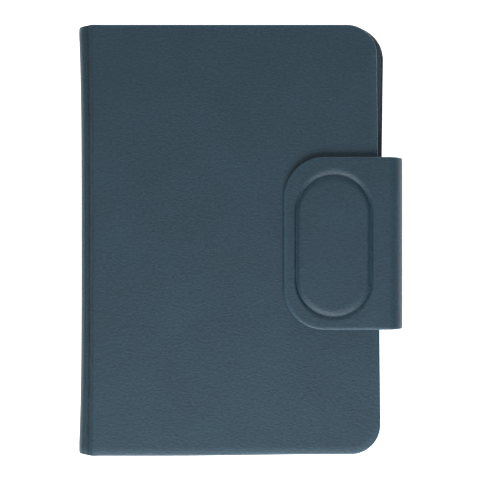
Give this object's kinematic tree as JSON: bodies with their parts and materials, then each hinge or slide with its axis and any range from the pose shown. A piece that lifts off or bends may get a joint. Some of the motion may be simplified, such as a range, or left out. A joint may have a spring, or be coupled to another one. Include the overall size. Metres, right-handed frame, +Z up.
{
  "type": "tablet keyboard case",
  "caption": "Leather-look folio case for a ten-inch tablet, with a keyboard half, a snap-in tray, a kickstand and a magnetic fore-edge clasp.",
  "frame": {"origin": "middle of the closed case's footprint, on the surface it lies on", "axes": "+Z up out of the front (keyboard) panel, +X from the spine to the clasp, +Y along the spine"},
  "size_m": [0.198, 0.262, 0.025],
  "materials": {
    "cover_leather": "smooth fine-grained coated leather, slate blue, satin",
    "grey_board": "pressed grey board",
    "microfibre_lining": "brushed microfibre",
    "shell_plastic": "fine spark-eroded texture",
    "key_plastic": "satin moulded",
    "plated_steel": "nickel plated",
    "magnet_steel": "nickel plated",
    "black_rubber": "matt moulded",
    "board_laminate": "solder mask",
    "battery_foil": "laminated pouch foil",
    "light_lens": "clear moulded"
  },
  "bodies": {
    "tablet_half": {"back_panel_skin": "cover_leather", "back_panel_board": "grey_board", "camera_bezel": "shell_plastic", "spine_anchor_strip": "cover_leather", "clasp_anchor": "cover_leather", "tablet_tray": "shell_plastic", "tray_lining": "microfibre_lining", "keeper_plate": "plated_steel"},
    "kickstand": {"kickstand_skin": "cover_leather", "kickstand_board": "grey_board", "kickstand_magnet_upper": "magnet_steel", "kickstand_magnet_lower": "magnet_steel"},
    "spine": {"spine_skin": "cover_leather", "spine_board": "grey_board", "spine_lining": "microfibre_lining"},
    "keyboard_half": {"front_panel_skin": "cover_leather", "front_panel_board": "grey_board", "front_panel_lining": "microfibre_lining", "closure_plate": "plated_steel", "keyboard_frame": "shell_plastic", "keyboard_base": "shell_plastic", "circuit_board": "board_laminate", "key_membrane": "black_rubber", "control_board": "board_laminate", "battery_cell": "battery_foil", "charging_port": "plated_steel", "status_light": "light_lens", "bumper_left": "black_rubber", "bumper_right": "black_rubber"},
    "clasp_wall": {"clasp_wall_skin": "cover_leather", "clasp_wall_core": "grey_board"},
    "clasp_pad": {"clasp_pad_skin": "cover_leather", "clasp_pad_core": "grey_board", "clasp_pad_lining": "microfibre_lining", "clasp_magnet_upper": "magnet_steel", "clasp_magnet_lower": "magnet_steel"},
    "power_button_cover": {"power_button_cover": "shell_plastic"},
    "volume_up_cover": {"volume_up_cover": "shell_plastic"},
    "volume_down_cover": {"volume_down_cover": "shell_plastic"},
    "trackpad": {"trackpad": "key_plastic"},
    "power_slider": {"power_slider": "key_plastic"},
    "function_keys": {"function_keys": "key_plastic"},
    "number_keys": {"number_keys": "key_plastic"},
    "backspace_key": {"backspace_key": "key_plastic"},
    "tab_key": {"tab_key": "key_plastic"},
    "upper_letter_keys": {"upper_letter_keys": "key_plastic"},
    "caps_lock_key": {"caps_lock_key": "key_plastic"},
    "home_letter_keys": {"home_letter_keys": "key_plastic"},
    "enter_key": {"enter_key": "key_plastic"},
    "left_shift_key": {"left_shift_key": "key_plastic"},
    "lower_letter_keys": {"lower_letter_keys": "key_plastic"},
    "right_shift_key": {"right_shift_key": "key_plastic"},
    "left_modifier_keys": {"left_modifier_keys": "key_plastic"},
    "space_bar": {"space_bar": "key_plastic"},
    "right_modifier_keys": {"right_modifier_keys": "key_plastic"},
    "arrow_left_key": {"arrow_left_key": "key_plastic"},
    "arrow_up_key": {"arrow_up_key": "key_plastic"},
    "arrow_down_key": {"arrow_down_key": "key_plastic"},
    "arrow_right_key": {"arrow_right_key": "key_plastic"}
  },
  "joints": [
    {"name": "spine_fold", "type": "hinge", "parent": "tablet_half", "child": "spine", "pos_m": [-0.09699, 0, 0.00201], "axis": [0, -1, 0], "range_deg": [0, 90]},
    {"name": "keyboard_fold", "type": "hinge", "parent": "spine", "child": "keyboard_half", "pos_m": [-0.09699, 0, 0.01998], "axis": [0, -1, 0], "range_deg": [0, 90]},
    {"name": "clasp_wall_fold", "type": "hinge", "parent": "tablet_half", "child": "clasp_wall", "pos_m": [0.09669, 0, 0.00231], "axis": [0, 1, 0], "range_deg": [0, 90]},
    {"name": "clasp_pad_fold", "type": "hinge", "parent": "clasp_wall", "child": "clasp_pad", "pos_m": [0.0964, 0, 0.0224], "axis": [0, 1, 0], "range_deg": [0, 90]},
    {"name": "kickstand_fold", "type": "hinge", "parent": "tablet_half", "child": "kickstand", "pos_m": [0, 0, 0], "axis": [0, -1, 0], "range_deg": [0, 70]},
    {"name": "power_button_cover_press", "type": "slide", "parent": "tablet_half", "child": "power_button_cover", "axis": [0, -1, 0], "range_m": [0, 0.0004], "stiffness_N_per_m": 2000},
    {"name": "volume_up_cover_press", "type": "slide", "parent": "tablet_half", "child": "volume_up_cover", "axis": [-1, 0, 0], "range_m": [0, 0.0004], "stiffness_N_per_m": 2000},
    {"name": "volume_down_cover_press", "type": "slide", "parent": "tablet_half", "child": "volume_down_cover", "axis": [-1, 0, 0], "range_m": [0, 0.0004], "stiffness_N_per_m": 2000},
    {"name": "trackpad_press", "type": "slide", "parent": "keyboard_half", "child": "trackpad", "axis": [0, 0, 1], "range_m": [0, 0.0004], "stiffness_N_per_m": 1500},
    {"name": "power_slider_slide", "type": "slide", "parent": "keyboard_half", "child": "power_slider", "axis": [1, 0, 0], "range_m": [0, 0.003]},
    {"name": "function_keys_press", "type": "slide", "parent": "keyboard_half", "child": "function_keys", "axis": [0, 0, 1], "range_m": [0, 0.0012], "stiffness_N_per_m": 400},
    {"name": "number_keys_press", "type": "slide", "parent": "keyboard_half", "child": "number_keys", "axis": [0, 0, 1], "range_m": [0, 0.0012], "stiffness_N_per_m": 400},
    {"name": "backspace_key_press", "type": "slide", "parent": "keyboard_half", "child": "backspace_key", "axis": [0, 0, 1], "range_m": [0, 0.0012], "stiffness_N_per_m": 400},
    {"name": "tab_key_press", "type": "slide", "parent": "keyboard_half", "child": "tab_key", "axis": [0, 0, 1], "range_m": [0, 0.0012], "stiffness_N_per_m": 400},
    {"name": "upper_letter_keys_press", "type": "slide", "parent": "keyboard_half", "child": "upper_letter_keys", "axis": [0, 0, 1], "range_m": [0, 0.0012], "stiffness_N_per_m": 400},
    {"name": "caps_lock_key_press", "type": "slide", "parent": "keyboard_half", "child": "caps_lock_key", "axis": [0, 0, 1], "range_m": [0, 0.0012], "stiffness_N_per_m": 400},
    {"name": "home_letter_keys_press", "type": "slide", "parent": "keyboard_half", "child": "home_letter_keys", "axis": [0, 0, 1], "range_m": [0, 0.0012], "stiffness_N_per_m": 400},
    {"name": "enter_key_press", "type": "slide", "parent": "keyboard_half", "child": "enter_key", "axis": [0, 0, 1], "range_m": [0, 0.0012], "stiffness_N_per_m": 400},
    {"name": "left_shift_key_press", "type": "slide", "parent": "keyboard_half", "child": "left_shift_key", "axis": [0, 0, 1], "range_m": [0, 0.0012], "stiffness_N_per_m": 400},
    {"name": "lower_letter_keys_press", "type": "slide", "parent": "keyboard_half", "child": "lower_letter_keys", "axis": [0, 0, 1], "range_m": [0, 0.0012], "stiffness_N_per_m": 400},
    {"name": "right_shift_key_press", "type": "slide", "parent": "keyboard_half", "child": "right_shift_key", "axis": [0, 0, 1], "range_m": [0, 0.0012], "stiffness_N_per_m": 400},
    {"name": "left_modifier_keys_press", "type": "slide", "parent": "keyboard_half", "child": "left_modifier_keys", "axis": [0, 0, 1], "range_m": [0, 0.0012], "stiffness_N_per_m": 400},
    {"name": "space_bar_press", "type": "slide", "parent": "keyboard_half", "child": "space_bar", "axis": [0, 0, 1], "range_m": [0, 0.0012], "stiffness_N_per_m": 400},
    {"name": "right_modifier_keys_press", "type": "slide", "parent": "keyboard_half", "child": "right_modifier_keys", "axis": [0, 0, 1], "range_m": [0, 0.0012], "stiffness_N_per_m": 400},
    {"name": "arrow_left_key_press", "type": "slide", "parent": "keyboard_half", "child": "arrow_left_key", "axis": [0, 0, 1], "range_m": [0, 0.0012], "stiffness_N_per_m": 400},
    {"name": "arrow_up_key_press", "type": "slide", "parent": "keyboard_half", "child": "arrow_up_key", "axis": [0, 0, 1], "range_m": [0, 0.0012], "stiffness_N_per_m": 400},
    {"name": "arrow_down_key_press", "type": "slide", "parent": "keyboard_half", "child": "arrow_down_key", "axis": [0, 0, 1], "range_m": [0, 0.0012], "stiffness_N_per_m": 400},
    {"name": "arrow_right_key_press", "type": "slide", "parent": "keyboard_half", "child": "arrow_right_key", "axis": [0, 0, 1], "range_m": [0, 0.0012], "stiffness_N_per_m": 400}
  ]
}
